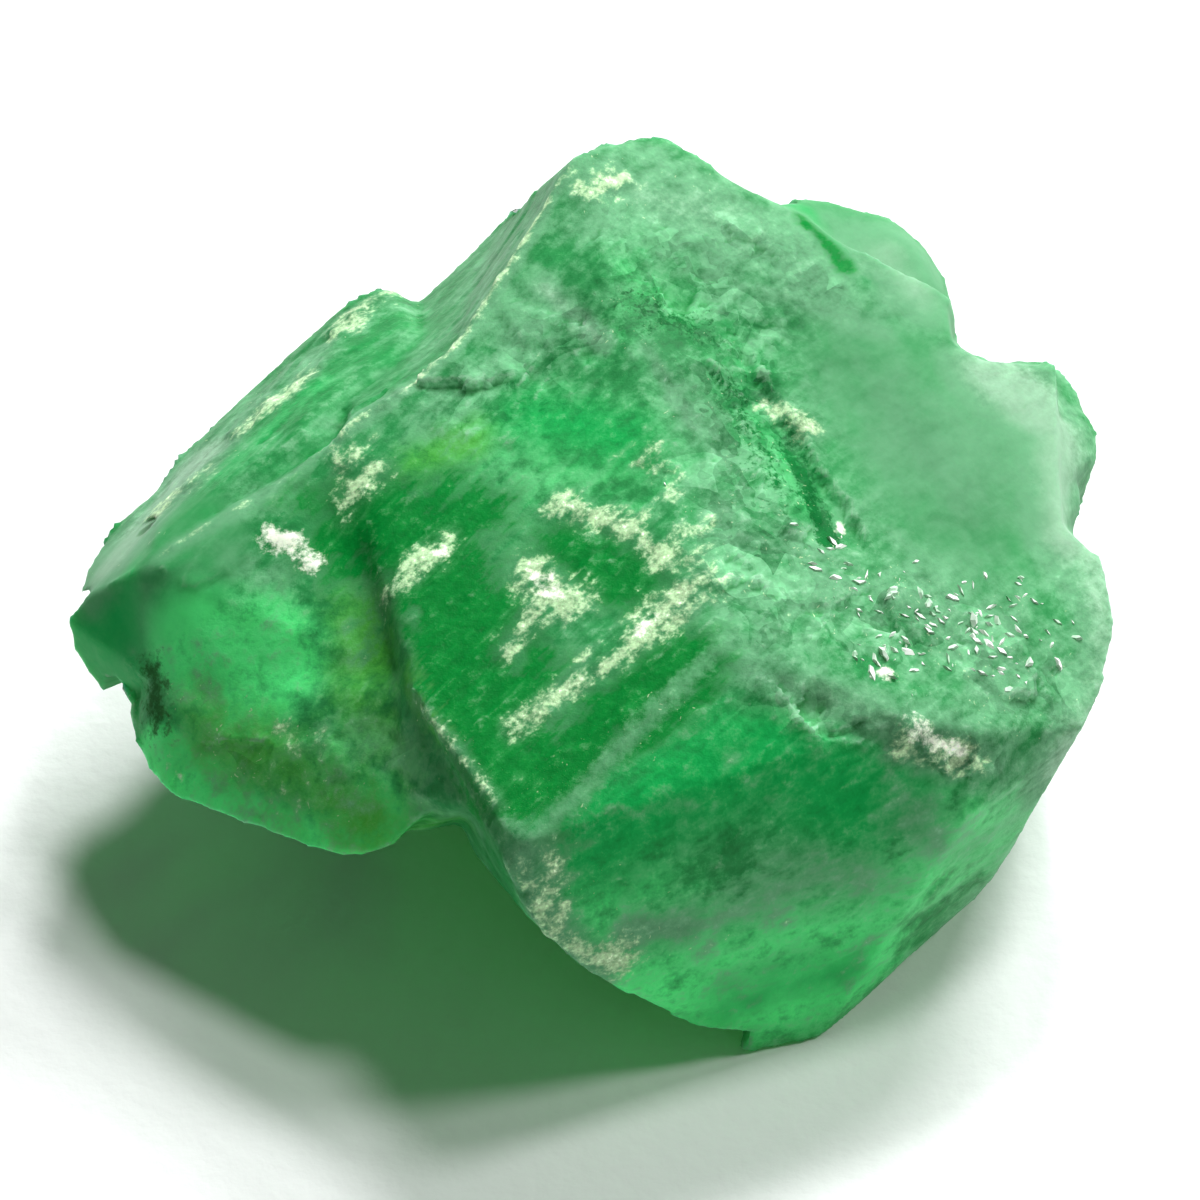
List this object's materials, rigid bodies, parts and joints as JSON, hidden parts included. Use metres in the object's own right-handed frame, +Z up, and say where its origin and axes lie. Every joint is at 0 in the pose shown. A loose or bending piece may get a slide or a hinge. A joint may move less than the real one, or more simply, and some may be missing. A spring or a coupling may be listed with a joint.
{
  "type": "raw emerald crystal",
  "caption": "Raw uncut emerald: the broken end of a green beryl crystal with flat natural faces, a rough frosted break, an undercut side and cream mineral veins.",
  "frame": {"origin": "centre of the bottom of the stone's box, on the plane it rests on", "axes": "+X along the stone's length from its pointed left tip to its right end, +Y from the steep front face to the notched back, +Z up from the flat foot"},
  "size_m": [0.018, 0.0156, 0.008],
  "materials": {
    "emerald": "cloudy green crystal, glossy on the natural faces and frosted on the break"
  },
  "bodies": {
    "root": {"emerald_crystal": "emerald"}
  },
  "joints": []
}
